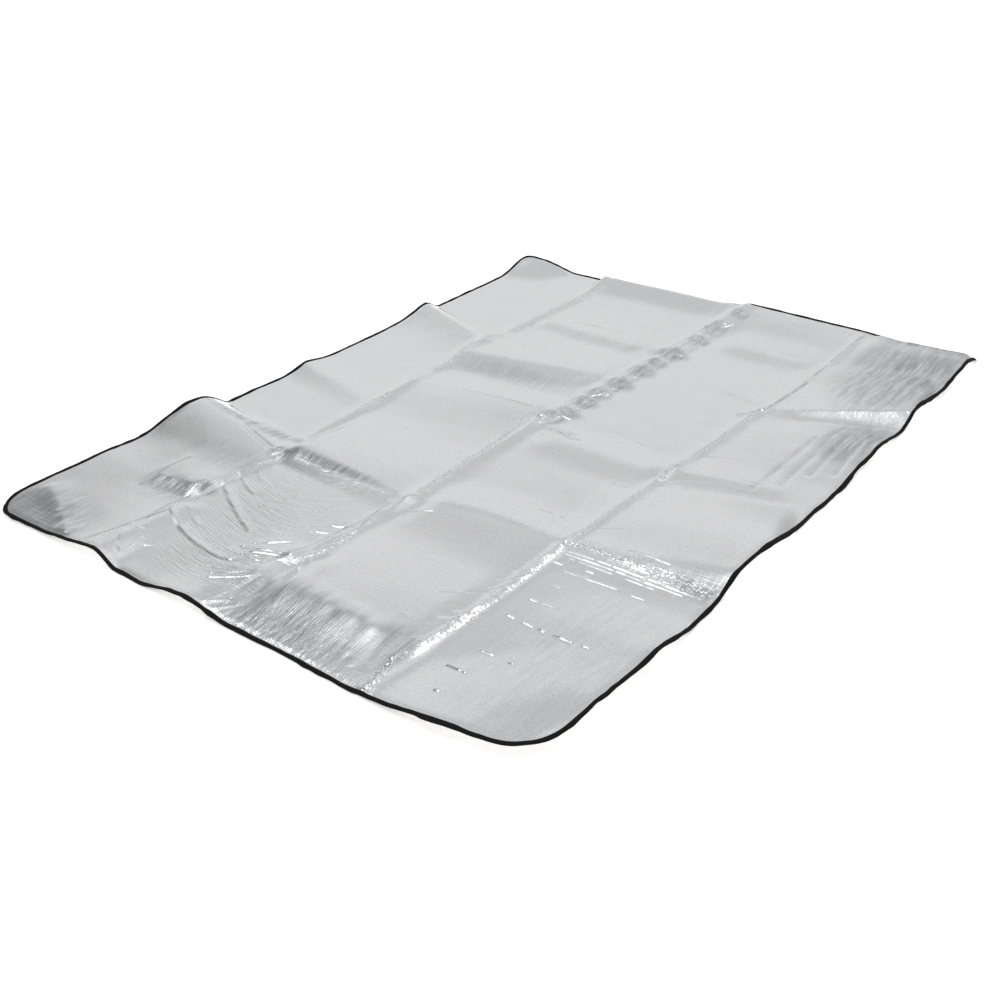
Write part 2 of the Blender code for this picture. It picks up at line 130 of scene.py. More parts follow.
# Fine creases in the foil face, in millimetres.  Each runs from (x0, y0) to (x1, y1), stands
# `rise` above the folds (below them where it is negative) and falls away over `right` and
# `left`.  Its middle is pushed `bow` to the left.  `broken` is the share of its length that
# is missing, in dashes.
Crease = namedtuple("Crease", "x0 y0 x1 y1 rise right left bow broken", defaults=(0, 0))
CREASES = [in_metres(Crease(*row), "x0", "y0", "x1", "y1", "bow") for row in (
    # the slack near panel of the second strip hangs in arcs from crease a to crease b
    (-418, -503, -345, -566, 1.2, 6, 14, -2),
    (-415, -567, -308, -618, 1.4, 6, 16, -4),
    (-396, -562, -300, -604, 0.5, 5, 10, -6),
    (-413, -618, -191, -736, 2.5, 8, 20, -6),
    (-340, -650, -230, -702, 0.5, 5, 8, -4),
    (-411, -724, -300, -780, 1.1, 6, 12, -6),
    (-417, -681, -385, -712, 0.8, 5, 9, -2),
    (-408, -774, -130, -842, 2.5, 8, 20, -19),
    (-395, -760, -250, -815, 0.6, 5, 8, -8),
    (-140, -842, -26, -776, 1.9, 5, 7, -6),
    (-392, -898, -335, -962, 1.2, 6, 10, -6),
    (-385, -860, -320, -905, 0.7, 5, 9, -6, 0.2),
    # bright pleats where that slack meets crease b
    (-123, -748, -75, -708, 2.4, 4, 5, -2),
    (-164, -786, -35, -756, 2.7, 4, 5, -3, 0.1),
    (-128, -796, -26, -763, 2.8, 4, 5, -2),
    (-150, -815, -60, -788, 2, 4, 5, -3, 0.2),
    (-126, -904, -45, -845, 2.2, 4, 5, -4),
    (-110, -920, -30, -860, 2.2, 4, 5, -4),
    (-140, -885, -85, -852, 1.8, 4, 5, -2, 0.3),
    (-48, -985, -12, -944, 3, 5, 6),
    (-18, -985, 4, -952, 2.7, 5, 6),
    (-96, -772, -50, -745, 1.8, 4, 5, 0, 0.2),
    (-150, -765, -100, -735, 1.5, 4, 5, 0, 0.3),
    (-67, -619, -12, -598, 2.2, 4, 5),
    (-90, -660, -40, -640, 1.4, 4, 5, 0, 0.3),
    (-388, -881, -365, -871, 0.9, 4, 4),
    (-345, -909, -310, -886, 1, 4, 4, 0, 0.2),
    (-352, -906, -336, -956, 0.8, 4, 4, 2),
    # the sharp ridges of creases b and c, whose right-hand flanks are steep
    (-12, -776, -32, -466, 5.2, 14, 10, -21),  # b, near, ridge
    (391, -402, 388, -754, 4.3, 13, 10, 5),  # c, near, ridge
    (389, -740, 370, -905, 4, 13, 10, 3),  # c, near, ridge, front
    (371, -895, 387, -988, 2.2, 8, 10, 0, 0.2),  # c, near, ridge, edge
    (-60, -846, 320, -862, 5, 75, 60),  # front dome, brow
    (-30, -985, -22, -830, -2, 14, 10, 4),  # front dome, side
    (5, -440, 390, -402, 0.9, 22, 40, 30),  # first fold, third strip
    # spurs on the left of crease c
    (392, -470, 366, -505, 1.2, 4, 4),
    (390, -516, 362, -545, 1.2, 4, 4),
    (388, -548, 356, -588, 1.4, 4, 4),
    (386, -590, 360, -622, 1.1, 4, 4),
    (391, -688, 362, -724, 1.3, 4, 4),
    (391, -722, 352, -760, 1.3, 4, 4),
    (386, -805, 356, -838, 1.1, 4, 4),
    # faint lines in the third strip
    (296, -791, 322, -791, 1.16, 3, 3.5),
    (336, -803, 368, -781, -0.5, 5, 5),
    (300, -690, 340, -662, 1.16, 3, 3.5, 0, 0.2),
    (339, -659, 373, -626, -0.6, 5, 5),
    (255, -309, 345, -309, 1.3, 3, 3.5, 0, 0.3),
    (300, -324, 380, -308, 1.01, 3, 3.5, 0, 0.4),
    (275, -126, 372, -114, 1.16, 3, 3.5, 0, 0.4),
    (30, -480, 85, -452, 1.3, 3, 3.5, 0, 0.2),
    (50, -20, 160, 10, 1.16, 3, 3.5, 0, 0.3),
    (90, 30, 130, 34, 1.01, 3, 3.5, 0, 0.2),
    (180, 95, 300, 70, -0.4, 8, 10, -4),
    # dashes across the near panel of the fourth strip
    (408, -463, 432, -461, 1.7, 3, 4),
    (478, -453, 500, -452, 1.7, 3, 4),
    (440, -478, 570, -472, 1.7, 3, 4, 0, 0.2),
    (594, -474, 632, -474, 1.7, 3, 4),
    (443, -595, 515, -593, 2.3, 3, 4, 0, 0.25),
    (440, -661, 646, -678, 3.2, 5, 3.5, -2, 0.35),
    (470, -777, 507, -779, 3.4, 5, 3.5),
    (542, -786, 556, -785, 3.3, 5, 3.5),
    (452, -848, 503, -852, 4, 5, 3.5, 0, 0.1),
    (490, -926, 504, -925, 3.6, 5, 3.5),
    (455, -532, 520, -530, 1.6, 3, 4, 0, 0.5),
    # the facet of the first fold in the fourth strip, with lines along its foot
    (412, -416, 736, -410, 1.4, 3, 4, 0, 0.15),
    (412, -426, 730, -420, 1.3, 3, 4, 0, 0.2),
    (420, -436, 700, -431, 1.1, 3, 4, 0, 0.3),
    (380, -384, 590, -388, 2.8, 26, 60, 4),  # facet brow
    (515, -357, 618, -360, 1.9, 3, 3.5),  # facet top line
    # the brow of the third fold's facet in the same strip, and that of the far edge
    (500, 430, 748, 547, 4, 30, 10),  # third fold, brow
    (560, 962, 746, 960, 3.5, 34, 14),  # far right, brow
    # curved lines in the middle of the fourth strip
    (424, -168, 536, -83, -0.9, 9, 12, 22),
    (419, 16, 590, 52, -0.9, 9, 12, 6),
    (560, 48, 610, 58, 1.1, 3, 4, 0, 0.3),  # curve 2, sparks
    (407, -64, 500, -1, -0.7, 7, 10, 10),
    (414, -314, 466, -290, -0.5, 4, 5, 2),
    (425, 95, 520, 135, -0.5, 6, 8, 8),
    # the middle fold in the second strip, a fine ridge, and lines in the first strip
    (-400, 52, -55, 92, 0.9, 8, 8, 12),  # middle ridge
    (-700, -20, -500, -80, 0.8, 6, 7, 0, 0.1),
    (-560, 80, -440, 160, 0.7, 6, 8, 0, 0.1),
    (-545, 535, -450, 557, 0.8, 4, 6, 0, 0.2),
    (-310, 632, -135, 655, 0.9, 4, 7, 0, 0.1),
    # crease a
    (-428, -985, -403, -790, -2, 6, 8, -4),
    (-404, -840, -424, -672, -1.6, 5, 7, 10),
    (-377, -928, -335, -963, -1.2, 4.5, 5, -2, 0.2),  # a, near, upper
    (-552, -750, -555, -596, -1.4, 6, 8, 6),  # a, panel shadow
    (-512, -762, -525, -650, -1, 5, 7, 6, 0.2),  # a, panel shadow, inner
    (-424, -665, -390, -462, 1.4, 5, 6, 6, 0.2),  # a, near, line
    (-556, -690, -424, -672, 3, 50, 30),  # a, panel brow
    (-715, -875, -490, -985, 6, 45, 70, 6),  # front left, brow
    (-400, -452, -640, -385, -1.3, 7, 7, 6),
    (-405, -462, -560, -425, -0.8, 5, 5, 4),
    # the pleats of crease b beyond the middle fold: each rises away from the front
    (-10, 81, 34, 87, 3.7, 26, 8),
    (10, 123, 62, 129, 3.7, 26, 8),
    (9, 201, 59, 207, 4, 26, 8),
    (9, 260, 59, 266, 4.3, 26, 8),
    (19, 341, 75, 347, 5, 26, 8),
    (22, 442, 78, 448, 5, 26, 8),
    (31, 513, 75, 519, 3.1, 26, 8),
    (10, 589, 94, 595, 5.6, 26, 8),
    (48, 660, 88, 666, 3.1, 26, 8),
    (40, 712, 90, 718, 4.3, 26, 8),
    (43, 785, 89, 791, 3.7, 26, 8),
    (38, 832, 82, 838, 3.7, 26, 8),
    (55, 922, 105, 928, 4.3, 26, 8),
    (-13, 51, 30, 65, 2.2, 4, 6),
    (-10, 93, 60, 96, 2.2, 4, 6),
    (18, 147, 46, 155, 2.2, 4, 6),
    (28, 219, 47, 261, 2.2, 4, 6),
    (41, 299, 73, 312, 2.2, 4, 6),
    (48, 388, 67, 405, 2.2, 4, 6),
    (13, 569, 67, 565, 2.2, 4, 6),
    (49, 634, 72, 643, 2.2, 4, 6),
    (25, 810, 68, 796, 2.2, 4, 6),
    (78, 815, 99, 853, 2.2, 4, 6),
    # crease c beyond the third fold, a thin shadow line
    (428, 398, 443, 610, -1.6, 7, 6, -6, 0.1),  # c, far shadow
    (443, 590, 441, 955, -1.5, 7, 6, 7, 0.25),  # c, far shadow, beyond
    (405, 375, 440, 412, 1.6, 5, 5),  # c, knot
    # upright streaks in the far panel of the fourth strip
    (503, 880, 500, 690, -1.9, 9, 9),
    (572, 890, 556, 560, -3.1, 15, 11),
    (606, 870, 604, 540, -3.1, 15, 11),
    (640, 870, 646, 545, -3.1, 14, 10),
    (672, 860, 680, 570, -2.7, 14, 10),
    (704, 850, 712, 590, -2.2, 12, 10),
    # the same below the third fold
    (636, 400, 632, 80, -2.4, 14, 10),
    (664, 410, 668, 150, -2.4, 14, 10),
    (600, 330, 590, 20, -1.7, 13, 10),
    (705, 420, 712, 180, -2, 13, 10),
)]

# Bands along the creases where the film is crushed, in millimetres: `half` is the band's
# half width and `rise` the height of its facets.  `fine` is the strength of the finer
# crushing, which the material draws.  The facets are as long as they are wide where `pull`
# is "even", drawn out along the mat or across it where it says so, and in short lengths
# along it where it is "short".
Crush = namedtuple("Crush", "name x0 y0 x1 y1 half rise fine pull", defaults=("even",))
CRUSHES = [in_metres(Crush(*row), "x0", "y0", "x1", "y1") for row in (
    ("c, near", 398, -405, 398, -700, 9, 0.7, 0.6),
    ("c, near, front", 397, -700, 380, -895, 11, 0.8, 0.6),
    ("c, near, spurs", 385, -430, 383, -760, 10, 0.6, 0.5),
    ("c, front knot", 372, -900, 390, -990, 15, 1.3, 0.9),
    ("c, middle", 397, -380, 415, 360, 8, 1.1, 0.6),
    ("c, middle knot", 403, -40, 404, 15, 12, 1.4, 0.9),
    ("c, third fold", 385, 350, 440, 405, 11, 1.6, 0.8),
    ("c, first fold", 390, -400, 412, -392, 12, 1.6, 1),
    ("b, near", 0, -770, 6, -630, 10, 0.9, 0.8),
    ("b, near, upper", 4, -630, -26, -475, 8, 0.8, 0.7),
    ("b, middle", 8, -400, -32, 50, 19, 1.3, 0.7),
    ("b, far, first", 12, 60, 45, 330, 34, 1, 0.45),
    ("b, far", 45, 330, 82, 950, 34, 0.8, 0.3),
    ("b, second fold", 0, 30, 110, 10, 20, 1.2, 0.5),
    ("a, middle", -412, -300, -420, -50, 9, 1.2, 0.6),
    ("a, second fold", -412, -170, -416, -60, 14, 1.3, 0.8),
    ("a, third fold", -425, 150, -425, 420, 20, 1.2, 0.5),
    ("a, far", -420, 500, -395, 900, 22, 1.1, 0.35),
    ("a, near knot", -425, -670, -418, -640, 8, 0.5, 0.5),
    ("a, near", -400, -960, -410, -700, 10, 0.6, 0.3),
    ("dark panel", -535, -705, -445, -700, 36, 1.8, 0.5, "along"),
    ("facet, lower", 415, -408, 735, -404, 12, 0.9, 0.5, "across"),
    ("facet, upper", 410, -386, 735, -396, 24, 0.6, 0.55),
    ("third fold, fourth strip", 520, 430, 745, 510, 28, 2.2, 0.9, "short"),
    ("first fold, second strip", -345, -448, -70, -452, 12, 0.7, 0.5, "along"),
    ("slack, upper", -340, -600, -60, -590, 130, 0.8, 0.7, "across"),
    ("slack", -150, -830, -40, -785, 46, 1.7, 1.2, "across"),
    ("slack, front", -120, -925, -20, -900, 36, 1.4, 1, "across"),
    ("front dome", -10, -945, 270, -968, 50, 5, 1.6, "along"),
    ("front dome, crumpled", -10, -950, 250, -974, 42, 4.2, 1.2, "short"),
    ("front dome, edge", 0, -975, 350, -978, 24, 3.6, 1.6, "along"),
    ("third fold, left", -700, 440, -450, 375, 40, 1.4, 0.4, "along"),
    ("third fold, third strip", 290, 450, 400, 425, 12, 0.7, 0.3),
    ("far, second strip", -220, 560, -110, 560, 42, 0.7, 0.15),
    ("third fold, second strip", -60, 300, -20, 330, 20, 1, 0.4),
    ("first fold, a", -425, -462, -395, -440, 12, 0.4, 0.3),
)]

# Soft oval areas where the film is drawn into fine lines along the mat or across it, or
# crushed evenly, and the painted shade in its colour there, from 0 to 1.  Sizes are in millimetres.
DrawnAndShaded = namedtuple("DrawnAndShaded", "name x y reach_x reach_y strength dull pull", defaults=("even",))
DRAWN_AND_SHADED = [in_metres(DrawnAndShaded(*row), "x", "y", "reach_x", "reach_y") for row in (
    ("front dome", 135, -940, 190, 70, 0.9, 0.45, "along"),
    ("front dome, brow", 100, -880, 200, 50, 0.5, 0.45, "along"),
    ("front dome, end", 345, -875, 50, 50, 0.2, 0.5, "along"),
    ("front left corner", -610, -935, 140, 75, 0.5, 0.42, "across"),
    ("dark panel", -490, -710, 80, 55, 0.5, 0.35, "along"),
    ("a, near knot", -420, -668, 34, 20, 0.2, 0.8),
    ("first fold, knot", -400, -460, 28, 22, 0.2, 0.65),
    ("hump", -480, -540, 110, 50, 0.3, 0.25, "along"),
    ("far right", 650, 760, 150, 260, 0.35, 0.55, "along"),
    ("far right, edge", 620, 970, 140, 50, 0.2, 0.4, "along"),
    ("far right, rim", 650, 962, 120, 20, 0.2, 0.9, "along"),
    ("right, middle", 690, 350, 80, 110, 0.25, 0.6, "along"),
    ("third fold, fourth strip", 660, 480, 110, 50, 0.8, 0, "along"),
    ("first fold, second strip", -235, -439, 140, 15, 0.4, 0.75, "along"),
    ("third fold, second strip", -215, 225, 180, 45, 0.2, 0.25, "along"),
    ("first fold, tail", -560, -386, 180, 22, 0.3, 0.6, "along"),
    ("b, far 1", 12, 75, 41, 30, 0.2, 0.45),
    ("b, far 2", 36, 115, 41, 22, 0.2, 0.45),
    ("b, far 3", 34, 190, 36, 27, 0.2, 0.5),
    ("b, far 4", 34, 250, 36, 27, 0.2, 0.5),
    ("b, far 5", 47, 331, 41, 33, 0.2, 0.55),
    ("b, far 6", 50, 432, 41, 35, 0.2, 0.5),
    ("b, far 7", 53, 503, 34, 22, 0.2, 0.45),
    ("b, far 8", 48, 579, 58, 35, 0.2, 0.55),
    ("b, far 9", 66, 702, 36, 25, 0.2, 0.45),
    ("b, far 10", 62, 800, 36, 43, 0.2, 0.45),
    ("b, far 11", 80, 912, 34, 27, 0.2, 0.4),
    ("slack", -210, -640, 240, 210, 1.2, 0, "across"),
    ("slack, low", -140, -850, 170, 110, 1.3, 0, "across"),
    ("first fold, fourth strip", 570, -405, 190, 35, 0.8, 0, "across"),
    ("facet, right end", 700, -385, 60, 35, 0.5, 0.5, "across"),
    ("fourth strip, near", 620, -760, 160, 270, 0.25, 0.16, "across"),
    ("third strip, near", 200, -640, 200, 200, 0.25, 0, "across"),
)]

# ---------------------------------------------------------------- the lie of the mat
def beside(row, x, y, bow=0.0):
    """How far the points x, y lie along a row's line and to the left of it, and its length."""
    run_x = row.x1 - row.x0
    run_y = row.y1 - row.y0
    length = math.hypot(run_x, run_y)
    along = ((x - row.x0) * run_x + (y - row.y0) * run_y) / length
    across = ((y - row.y0) * run_x - (x - row.x0) * run_y) / length
    share = np.clip(along / length, 0, 1)
    return along, across - bow * 4 * share * (1 - share), length


def from_line(row, x, y, bow=0.0):
    """Distance of the points x, y from a row's line."""
    along, across, length = beside(row, x, y, bow)
    return np.hypot(across, np.maximum(np.maximum(-along, along - length), 0))


def fold_rise(fold, x, y):
    """Height that one fold adds at the points x, y."""
    along, across, length = beside(fold, x, y)
    reach = np.where(across > 0, fold.left, fold.right)
    shape = np.where(across > 0, fold.left_shape, fold.right_shape)
    fall = np.clip(np.abs(across) / reach, 0, 1) ** shape
    past_end = np.clip(np.maximum(-along, along - length) / fold.fade, 0, 1)
    crest = fold.rise0 + (fold.rise1 - fold.rise0) * np.clip(along / length, 0, 1)
    return crest * (1 - fall) ** 2 * (1 - past_end ** 2) ** 2


def relief(x, y):
    """Height of the mat's underside above the floor."""
    return sum(fold_rise(fold, x, y) for fold in FOLDS)


def steepness(x, y, step=0.004):
    """How much longer an upright line through the sheet is than its thickness."""
    slope_x = (relief(x + step, y) - relief(x - step, y)) / (2 * step)
    slope_y = (relief(x, y + step) - relief(x, y - step)) / (2 * step)
    return np.sqrt(1 + slope_x ** 2 + slope_y ** 2)


def chance(column, row, seed):
    """A fixed number from 0 to 1 for each cell of a lattice."""
    mixed = np.sin(column * 127.1 + row * 311.7 + seed * 74.7) * 43758.5453
    return mixed - np.floor(mixed)


def waver(x, y, pitch, seed):
    """Smooth noise from 0 to 1 with bumps about `pitch` apart."""
    column = np.floor(x / pitch)
    row = np.floor(y / pitch)
    part_x = x / pitch - column
    part_y = y / pitch - row
    part_x = part_x * part_x * (3 - 2 * part_x)
    part_y = part_y * part_y * (3 - 2 * part_y)
    near = chance(column, row, seed) * (1 - part_x) + chance(column + 1, row, seed) * part_x
    far = chance(column, row + 1, seed) * (1 - part_x) + chance(column + 1, row + 1, seed) * part_x
    return near * (1 - part_y) + far * part_y


def facets(x, y, pitch, seed):
    """Crushed film: flat facets about `pitch` across that meet in sharp lines, from 0 up."""
    column = np.floor(x / pitch)
    row = np.floor(y / pitch)
    top = np.full(np.shape(x), -9.0)
    for step_x in (-1, 0, 1):
        for step_y in (-1, 0, 1):
            cell_x = column + step_x
            cell_y = row + step_y
            away_x = x / pitch - cell_x - chance(cell_x, cell_y, seed)
            away_y = y / pitch - cell_y - chance(cell_x, cell_y, seed + 1)
            tilt_x = chance(cell_x, cell_y, seed + 2) - 0.5
            tilt_y = chance(cell_x, cell_y, seed + 3) - 0.5
            dome = away_x ** 2 + away_y ** 2
            top = np.maximum(top, 1.3 * (tilt_x * away_x + tilt_y * away_y) - 0.5 * dome)
    return top


def crease_rise(crease, seed, x, y):
    """Height that one fine crease adds at the points x, y."""
    along, across, length = beside(crease, x, y, crease.bow)
    reach = np.where(across > 0, crease.left, crease.right) * MM
    fall = (1 - np.clip(np.abs(across) / reach, 0, 1) ** 1.3) ** 2
    fade = min(max(0.010, 0.6 * min(crease.left, crease.right) * MM), length / 3)
    inside = np.clip(np.minimum(along, length - along) / fade + 0.3, 0, 1)
    uneven = 0.65 + 0.7 * waver(along, 0 * along, 0.023, seed)
    # dashes: the crease is missing where a second noise is low
    if crease.broken:
        gaps = waver(along, 0 * along, 0.013, seed + 0.5)
        uneven = uneven * np.clip((gaps - crease.broken) * 6, 0, 1)
    return crease.rise * MM * fall * inside * inside * (3 - 2 * inside) * uneven


def crush_mask(crush, x, y):
    """1 in the middle of a crushed band, 0 outside its ragged rim."""
    ragged = crush.half * MM * (0.7 + 0.6 * waver(x, y, 0.021, 5))
    return np.clip(1 - from_line(crush, x, y) / ragged, 0, 1) ** 0.7


def each_corner(x, y):
    """For each corner, the radius of the tape's inner edge, how far the points x, y are past
    the centre of its arc, and which of them are in the corner."""
    for corner in CORNERS:
        radius = corner.radius - TAPE_COVER
        past_x = corner.side * x - (LIP_X - radius)
        past_y = corner.end * y - (LIP_Y - radius)
        yield corner, radius, past_x, past_y, (past_x > 0) & (past_y > 0)


def inset(x, y):
    """Distance from the inner edge of the tape, inwards."""
    deep = np.minimum(LIP_X - np.abs(x), LIP_Y - np.abs(y))
    for _, radius, past_x, past_y, here in each_corner(x, y):
        deep = np.where(here, radius - np.hypot(past_x, past_y), deep)
    return deep


def over_side(x, y):
    """Directions that point out of the mat over the nearest of its four sides."""
    sideways = LIP_X - np.abs(x) <= LIP_Y - np.abs(y)
    return np.where(sideways, np.sign(x), 0.0), np.where(sideways, 0.0, np.sign(y))


def over_edge(x, y):
    """Directions that point out of the mat over its rounded edge."""
    out_x, out_y = over_side(x, y)
    for corner, _, past_x, past_y, here in each_corner(x, y):
        away = np.maximum(np.hypot(past_x, past_y), 1e-9)
        out_x = np.where(here, corner.side * past_x / away, out_x)
        out_y = np.where(here, corner.end * past_y / away, out_y)
    return out_x, out_y


def wander(x, y):
    """How far the edge strays from its straight or round outline at each point."""
    # up to 2.5 mm each way in long waves and 1.2 mm in short ones
    stray = 5.0 * (waver(x, y, 0.075, 71) - 0.5) + 2.4 * (waver(x, y, 0.028, 72) - 0.5)
    near_edge = np.clip(1 - inset(x, y) / 0.030, 0, 1)
    out_x, out_y = over_edge(x, y)
    return stray * near_edge * MM * out_x, stray * near_edge * MM * out_y


def underside(x, y):
    """Height of the sheet's lower face."""
    lift = RIM_LIFT * np.clip(1 - np.maximum(inset(x, y), 0) / RIM_BLEND, 0, 1) ** 2
    return relief(x, y) + lift * steepness(x, y)


def low_underside(x, y):
    """The underside where its wide mesh cells span the folds: never above the foil face."""
    # as low as the folds come within a cell, but for the very rim
    reach = np.where(inset(x, y) > EDGE_BAND, 0.040, 0.015)
    low = underside(x, y)
    for step_x in (-1, 0, 1):
        for step_y in (-1, 0, 1):
            low = np.minimum(low, underside(x + step_x * reach, y + step_y * reach))
    return np.where(inset(x, y) > 0.004, low, underside(x, y))


# How long the facets are across and along the mat for each pull, in their widths.
PULLS = {"even": (1.0, 1.0), "along": (0.75, 4.0), "across": (5.0, 0.7), "short": (0.55, 1.8)}


def sagging(x, y):
    """Y, bent in the second strip's near panel as its slack hangs from crease to crease."""
    # from crease a to crease b; the arcs are deeper and hang further left towards the back
    slack = np.clip((x + 0.46) / 0.05, 0, 1) * np.clip((0.02 - x) / 0.04, 0, 1)
    back = np.clip((y + 0.75) / 0.27, 0, 1)
    lowest = -0.12 - 0.16 * back
    return y - (1.0 + 0.9 * back) * slack * np.clip((-0.40 - y) / 0.06, 0, 1) * (x - lowest) ** 2


def creasing(x, y):
    """Height of the fine creases and the crushed film above the folded sheet."""
    rise = np.zeros(np.shape(x))
    for seed, crease in enumerate(CREASES):
        rise += crease_rise(crease, seed, x, y)
    # crushed film has facets of 13 mm with sharper ones of half that on them
    for pull, (stretch_x, stretch_y) in PULLS.items():
        along_x = (x + 0.010 * (waver(x, y, 0.040, 91) - 0.5)) / stretch_x
        along_y = sagging(x, y) / stretch_y
        coarse = facets(along_x, along_y, 0.013, 11)
        sharp = facets(along_x + 0.5, along_y, 0.0065, 23)
        crushed = np.zeros(np.shape(x))
        for crush in CRUSHES:
            if crush.pull == pull:
                crushed = np.maximum(crushed, crush_mask(crush, x, y) * crush.rise * MM)
        rise += crushed * (0.9 * coarse + 0.45 * sharp + 0.2)
    # nowhere is the foam quite flat
    rise += 0.9 * MM * (waver(x / 2, y, 0.060, 41) - 0.5)
    rise += 0.4 * MM * (waver(x / 2, y, 0.027, 43) - 0.5)
    # the seam presses all of this flat along the tape
    tape = np.clip(inset(x, y) / 0.010, 0, 1)
    return rise * tape * tape * (3 - 2 * tape)


# ---------------------------------------------------------------- the plan
def round_corner(x, y):
    """Move points of the square-cornered plan onto the round-cornered one.

    Returns their new places and the directions that point out of the mat there.  Within a
    corner, each square ring of mesh lines becomes a quarter circle.
    """
    place_x, place_y = x, y
    out_x, out_y = over_side(x, y)
    for corner, radius, past_x, past_y, here in each_corner(x, y):
        ring = np.maximum(past_x, past_y)
        low = np.minimum(past_x, past_y) / np.where(ring > 0, ring, 1)
        angle = np.where(past_x >= past_y, math.pi / 4 * low, math.pi / 2 - math.pi / 4 * low)
        out_x = np.where(here, corner.side * np.cos(angle), out_x)
        out_y = np.where(here, corner.end * np.sin(angle), out_y)
        place_x = np.where(here, corner.side * (LIP_X - radius) + out_x * ring, place_x)
        place_y = np.where(here, corner.end * (LIP_Y - radius) + out_y * ring, place_y)
    return place_x, place_y, out_x, out_y


# Mesh lines of the sheet, closer together by its edges, where the corners are rounded.
# The foil face has all of them and the underside every third one.
EDGE_BAND = 0.060
EDGE_CELLS = 12
CELLS_ACROSS = 100
CELLS_ALONG = 138
UNDERSIDE_STEP = 3

# The foil face's cells are divided down to these sizes by its narrow creases, by its wider
# creases and strongly crushed film, and by its broad creases and the rest of that film.
FINE_CELL = 0.0018
MEDIUM_CELL = 0.0029
BROAD_CELL = 0.0060
PASSES = 3
MIDWAY = 0.5                 # the flat shell's faces lie at 0 and 1, and this tells them apart


def mesh_lines(lip, cells):
    """Places of the mesh lines from one inner edge of the tape to the other."""
    inner = lip - EDGE_BAND
    return np.concatenate([
        np.linspace(-lip, -inner, EDGE_CELLS, endpoint=False),
        np.linspace(-inner, inner, cells, endpoint=False),
        np.linspace(inner, lip, EDGE_CELLS + 1),
    ])


columns = mesh_lines(LIP_X, CELLS_ACROSS)
rows = mesh_lines(LIP_Y, CELLS_ALONG)


def with_rim(lines, rim):
    """The lines with one more at each end, inside the tape."""
    return np.concatenate([[-rim], lines, [rim]])


# ---------------------------------------------------------------- meshes
def new_piece(name, points, faces):
    """An object with a mesh of these points and faces, in the scene."""
    mesh = bpy.data.meshes.new(name)
    mesh.from_pydata([tuple(point) for point in points], [], faces)
    mesh.update()
    piece = bpy.data.objects.new(name, mesh)
    bpy.context.scene.collection.objects.link(piece)
    return piece


def add_values(piece, name, values):
    """Store one number for each point of a piece, for its material to read."""
    layer = piece.data.attributes.new(name, "FLOAT", "POINT")
    layer.data.foreach_set("value", np.asarray(values, np.float32))


def sheet_shell():
    """Points and faces of the flat sheet: a fine upper face, a coarse lower one and the wall."""
    grid_x, grid_y = np.meshgrid(
        with_rim(columns, HALF_WIDTH - RIM_LIFT), with_rim(rows, HALF_LENGTH - RIM_LIFT)
    )
    x, y, _, _ = round_corner(grid_x, grid_y)
    high, wide = x.shape
    points = [(px, py, 1.0) for px, py in zip(x.ravel(), y.ravel())]

    def upper(row, column):
        return row * wide + column

    faces = [
        (upper(r, c), upper(r, c + 1), upper(r + 1, c + 1), upper(r + 1, c))
        for r in range(high - 1)
        for c in range(wide - 1)
    ]

    lower_index = {}

    def lower(row, column):
        if (row, column) not in lower_index:
            lower_index[row, column] = len(points)
            points.append((x[row, column], y[row, column], 0.0))
        return lower_index[row, column]

    def stops(count):
        return [0, *range(1, count - 1, UNDERSIDE_STEP), count - 1]

    row_stops = stops(high)
    column_stops = stops(wide)
    for r0, r1 in zip(row_stops, row_stops[1:]):
        for c0, c1 in zip(column_stops, column_stops[1:]):
            front = range(c0, c1) if r0 == 0 else [c0]
            right = range(r0, r1) if c1 == wide - 1 else [r0]
            back = range(c1, c0, -1) if r1 == high - 1 else [c1]
            left = range(r1, r0, -1) if c0 == 0 else [r1]
            loop = [(r0, c) for c in front]
            loop += [(r, c1) for r in right]
            loop += [(r1, c) for c in back]
            loop += [(r, c0) for r in left]
            faces.append(tuple(lower(r, c) for r, c in reversed(loop)))

    border = [(0, c) for c in range(wide - 1)]
    border += [(r, wide - 1) for r in range(high - 1)]
    border += [(high - 1, c) for c in range(wide - 1, 0, -1)]
    border += [(r, 0) for r in range(high - 1, 0, -1)]
    for (r0, c0), (r1, c1) in zip(border, border[1:] + border[:1]):
        faces.append((lower(r0, c0), lower(r1, c1), upper(r1, c1), upper(r0, c0)))
    return points, faces


def wanted_size(x, y, slack):
    """The largest mesh cells that the creases within `slack` of each point allow."""
    wanted = np.full(np.shape(x), 1.0)

    def allow(row, reach, size, bow=0.0):
        close = from_line(row, x, y, bow) < reach + slack
        wanted[close] = np.minimum(wanted[close], size)

    for crease in CREASES:
        narrow = min(crease.left, crease.right)
        reach = min(max(crease.left, crease.right), 14) * MM
        size = FINE_CELL if narrow < 4.5 else MEDIUM_CELL if narrow < 9 else BROAD_CELL
        allow(crease, reach, size, crease.bow)
    for crush in CRUSHES:
        allow(crush, crush.half * MM, MEDIUM_CELL if crush.rise > 0.85 else BROAD_CELL)
    for fold in FOLDS:
        if min(fold.left, fold.right) < 0.04:
            allow(fold, 0.010, BROAD_CELL)
    return wanted


